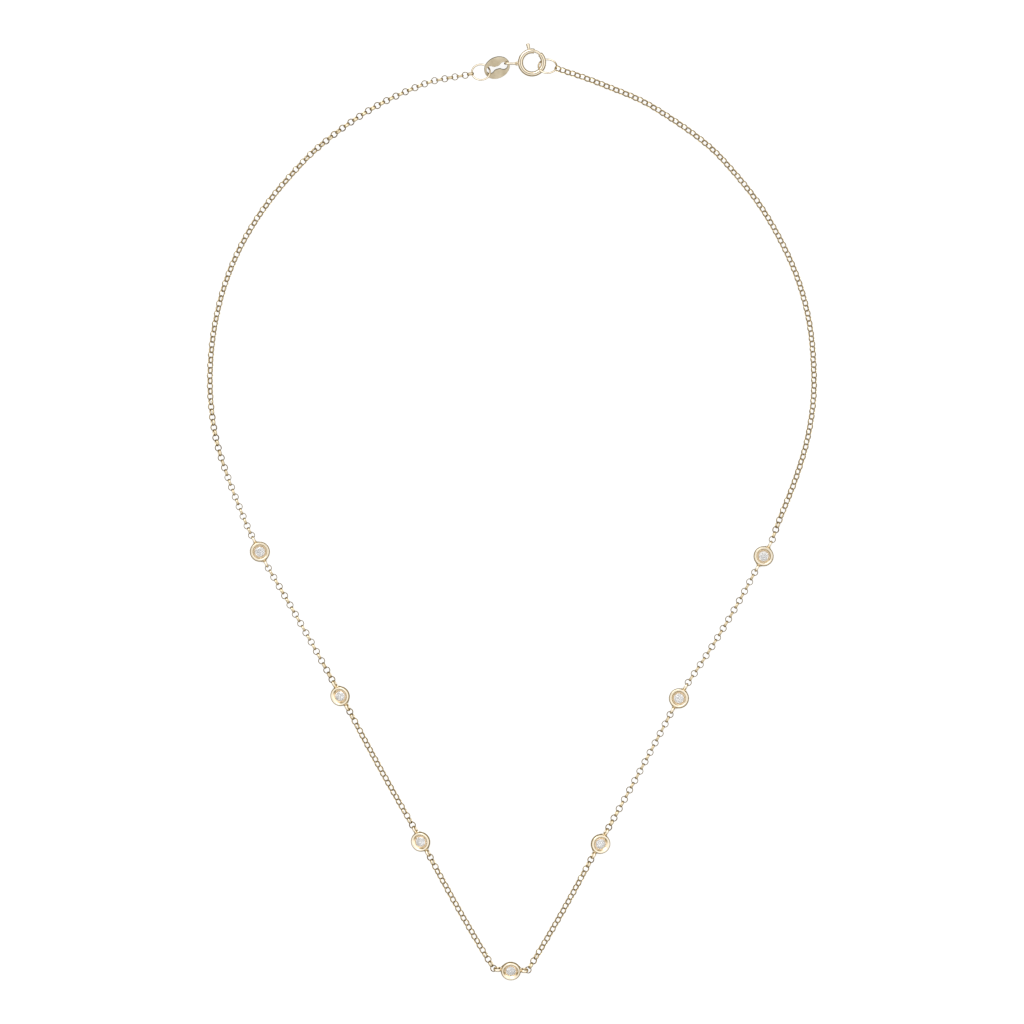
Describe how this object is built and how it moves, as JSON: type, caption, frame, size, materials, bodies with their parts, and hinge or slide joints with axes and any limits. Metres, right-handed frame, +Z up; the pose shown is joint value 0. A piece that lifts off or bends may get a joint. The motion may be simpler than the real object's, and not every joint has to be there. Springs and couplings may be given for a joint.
{
  "type": "diamond station necklace",
  "caption": "Fine gold belcher chain laid in a closed loop, with round bezel-set diamonds along the front and a spring ring clasp and oval tag at the back.",
  "frame": {"origin": "centre of the necklace's bounding box, at the surface that it lies on", "axes": "+Z up from the surface, +Y from the bottom setting towards the clasp, +X to the right seen from above"},
  "size_m": [0.1078, 0.1653, 0.0024],
  "materials": {
    "polished_gold": "polished 14 carat yellow gold",
    "chain_gold": "polished 14 carat yellow gold, fine links",
    "satin_gold": "satin 14 carat yellow gold",
    "diamond": "brilliant cut, colourless"
  },
  "bodies": {
    "necklace": {"setting_1": "polished_gold", "setting_2": "polished_gold", "setting_3": "polished_gold", "setting_4": "polished_gold", "setting_5": "polished_gold", "setting_6": "polished_gold", "setting_7": "polished_gold", "diamond_1": "diamond", "diamond_2": "diamond", "diamond_3": "diamond", "diamond_4": "diamond", "diamond_5": "diamond", "diamond_6": "diamond", "diamond_7": "diamond", "chain_front_1": "chain_gold", "chain_front_2": "chain_gold", "chain_front_3": "chain_gold", "chain_front_4": "chain_gold", "chain_front_5": "chain_gold", "chain_front_6": "chain_gold", "chain_back_left": "chain_gold", "chain_back_right": "chain_gold", "end_link_left": "chain_gold", "end_link_right": "chain_gold", "jump_ring_left": "polished_gold", "jump_ring_right": "polished_gold", "tag_plate": "satin_gold", "connector_ring": "polished_gold", "clasp_ring": "polished_gold"},
    "clasp_bolt": {"clasp_bolt": "polished_gold"}
  },
  "joints": [
    {"name": "trigger", "type": "hinge", "parent": "necklace", "child": "clasp_bolt", "pos_m": [0.00353, 0.07925, 0.00105], "axis": [0, 0, 1], "range_deg": [0, 40], "stiffness_Nm_per_rad": 0.001, "springref_deg": -34.38}
  ]
}
